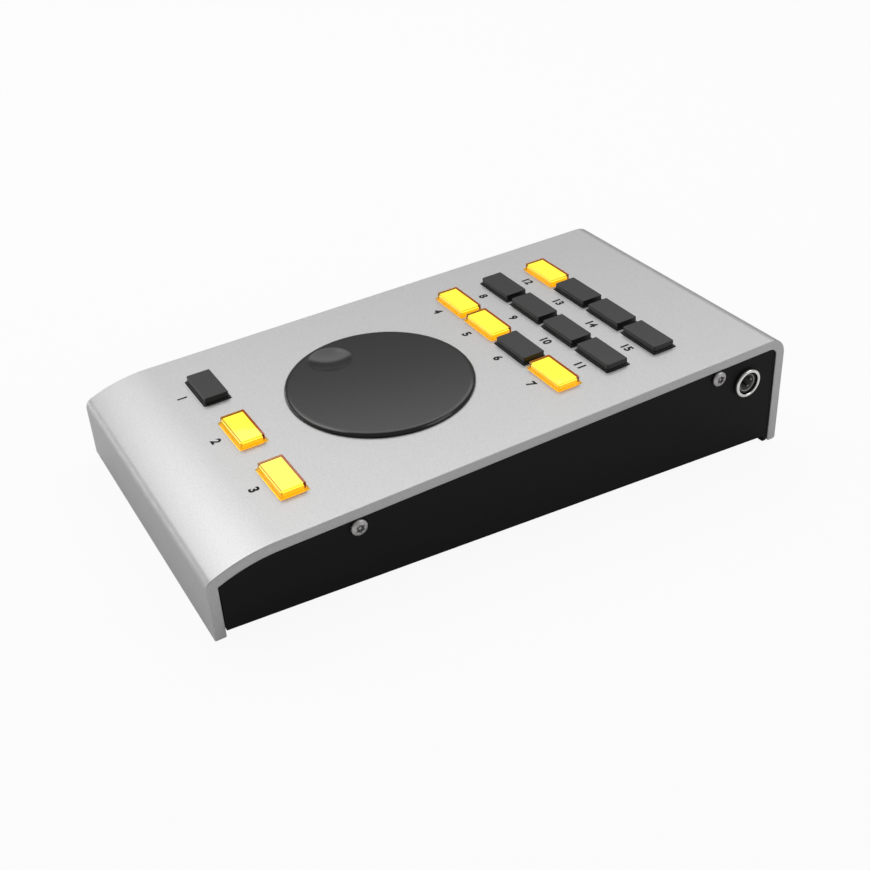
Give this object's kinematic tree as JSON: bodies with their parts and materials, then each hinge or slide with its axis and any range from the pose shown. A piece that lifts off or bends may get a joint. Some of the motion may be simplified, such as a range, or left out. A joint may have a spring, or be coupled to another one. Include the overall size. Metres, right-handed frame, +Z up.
{
  "type": "audio interface remote control",
  "caption": "Wedge-shaped desktop remote control with a bent aluminium cover, a flat jog wheel, backlit push keys and a jack socket in its side.",
  "frame": {"origin": "on the desk, under the middle of the remote control's bounding box", "axes": "+X to the user's right, +Y away from the user, +Z up"},
  "size_m": [0.108, 0.208, 0.0422],
  "materials": {
    "anodised_aluminium": "bead-blasted, clear anodised",
    "powder_coat": "fine matt black powder coat",
    "mill_aluminium": "as extruded",
    "steel": "zinc plated",
    "chrome": "bright nickel plate",
    "bronze": "turned",
    "rubber": "matt black",
    "wheel_plastic": "satin dark grey",
    "cap_dark": "smoked translucent, unlit",
    "cap_lit": "smoked translucent, lit amber from inside",
    "guide_dark": "milky light guide, unlit",
    "guide_lit": "milky light guide, lit yellow",
    "circuit_board": "green solder mask",
    "black_plastic": "moulded black nylon"
  },
  "bodies": {
    "housing": {"cover": "anodised_aluminium", "chassis": "powder_coat", "rail_front": "mill_aluminium", "rail_back": "mill_aluminium", "key_board": "circuit_board", "connector_board": "circuit_board", "board_spacer_left": "steel", "board_spacer_right": "steel", "encoder_body": "steel", "encoder_nut": "steel", "wheel_bearing": "bronze", "jack_body": "black_plastic", "jack_nut": "chrome", "cable_socket": "chrome", "side_screw_front_left": "steel", "side_screw_front_right": "steel", "side_screw_back_left": "steel", "side_screw_back_right": "steel", "board_screw_front_left": "steel", "board_screw_front_right": "steel", "board_screw_back_left": "steel", "board_screw_back_right": "steel", "foot_front_left": "rubber", "foot_front_right": "rubber", "foot_back_left": "rubber", "foot_back_right": "rubber"},
    "wheel": {"jog_wheel": "wheel_plastic", "wheel_clip": "steel", "encoder_shaft": "steel"},
    "key_01": {"key_01_cap": "cap_dark", "key_01_light": "guide_dark"},
    "key_02": {"key_02_cap": "cap_lit", "key_02_light": "guide_lit"},
    "key_03": {"key_03_cap": "cap_lit", "key_03_light": "guide_lit"},
    "key_04": {"key_04_cap": "cap_lit", "key_04_light": "guide_lit"},
    "key_05": {"key_05_cap": "cap_lit", "key_05_light": "guide_lit"},
    "key_06": {"key_06_cap": "cap_dark", "key_06_light": "guide_dark"},
    "key_07": {"key_07_cap": "cap_lit", "key_07_light": "guide_lit"},
    "key_08": {"key_08_cap": "cap_dark", "key_08_light": "guide_dark"},
    "key_09": {"key_09_cap": "cap_dark", "key_09_light": "guide_dark"},
    "key_10": {"key_10_cap": "cap_dark", "key_10_light": "guide_dark"},
    "key_11": {"key_11_cap": "cap_dark", "key_11_light": "guide_dark"},
    "key_12": {"key_12_cap": "cap_lit", "key_12_light": "guide_lit"},
    "key_13": {"key_13_cap": "cap_dark", "key_13_light": "guide_dark"},
    "key_14": {"key_14_cap": "cap_dark", "key_14_light": "guide_dark"},
    "key_15": {"key_15_cap": "cap_dark", "key_15_light": "guide_dark"}
  },
  "joints": [
    {"name": "wheel_turn", "type": "hinge", "parent": "housing", "child": "wheel", "pos_m": [0, -0.02278, 0.0328], "axis": [0, -0.0785, 0.9969], "continuous": true},
    {"name": "key_01_press", "type": "slide", "parent": "housing", "child": "key_01", "axis": [0, 0.0785, -0.9969], "range_m": [0, 0.001], "stiffness_N_per_m": 600, "springref_m": -0.0005},
    {"name": "key_02_press", "type": "slide", "parent": "housing", "child": "key_02", "axis": [0, 0.0785, -0.9969], "range_m": [0, 0.001], "stiffness_N_per_m": 600, "springref_m": -0.0005},
    {"name": "key_03_press", "type": "slide", "parent": "housing", "child": "key_03", "axis": [0, 0.0785, -0.9969], "range_m": [0, 0.001], "stiffness_N_per_m": 600, "springref_m": -0.0005},
    {"name": "key_04_press", "type": "slide", "parent": "housing", "child": "key_04", "axis": [0, 0.0785, -0.9969], "range_m": [0, 0.001], "stiffness_N_per_m": 600, "springref_m": -0.0005},
    {"name": "key_05_press", "type": "slide", "parent": "housing", "child": "key_05", "axis": [0, 0.0785, -0.9969], "range_m": [0, 0.001], "stiffness_N_per_m": 600, "springref_m": -0.0005},
    {"name": "key_06_press", "type": "slide", "parent": "housing", "child": "key_06", "axis": [0, 0.0785, -0.9969], "range_m": [0, 0.001], "stiffness_N_per_m": 600, "springref_m": -0.0005},
    {"name": "key_07_press", "type": "slide", "parent": "housing", "child": "key_07", "axis": [0, 0.0785, -0.9969], "range_m": [0, 0.001], "stiffness_N_per_m": 600, "springref_m": -0.0005},
    {"name": "key_08_press", "type": "slide", "parent": "housing", "child": "key_08", "axis": [0, 0.0785, -0.9969], "range_m": [0, 0.001], "stiffness_N_per_m": 600, "springref_m": -0.0005},
    {"name": "key_09_press", "type": "slide", "parent": "housing", "child": "key_09", "axis": [0, 0.0785, -0.9969], "range_m": [0, 0.001], "stiffness_N_per_m": 600, "springref_m": -0.0005},
    {"name": "key_10_press", "type": "slide", "parent": "housing", "child": "key_10", "axis": [0, 0.0785, -0.9969], "range_m": [0, 0.001], "stiffness_N_per_m": 600, "springref_m": -0.0005},
    {"name": "key_11_press", "type": "slide", "parent": "housing", "child": "key_11", "axis": [0, 0.0785, -0.9969], "range_m": [0, 0.001], "stiffness_N_per_m": 600, "springref_m": -0.0005},
    {"name": "key_12_press", "type": "slide", "parent": "housing", "child": "key_12", "axis": [0, 0.0785, -0.9969], "range_m": [0, 0.001], "stiffness_N_per_m": 600, "springref_m": -0.0005},
    {"name": "key_13_press", "type": "slide", "parent": "housing", "child": "key_13", "axis": [0, 0.0785, -0.9969], "range_m": [0, 0.001], "stiffness_N_per_m": 600, "springref_m": -0.0005},
    {"name": "key_14_press", "type": "slide", "parent": "housing", "child": "key_14", "axis": [0, 0.0785, -0.9969], "range_m": [0, 0.001], "stiffness_N_per_m": 600, "springref_m": -0.0005},
    {"name": "key_15_press", "type": "slide", "parent": "housing", "child": "key_15", "axis": [0, 0.0785, -0.9969], "range_m": [0, 0.001], "stiffness_N_per_m": 600, "springref_m": -0.0005}
  ]
}
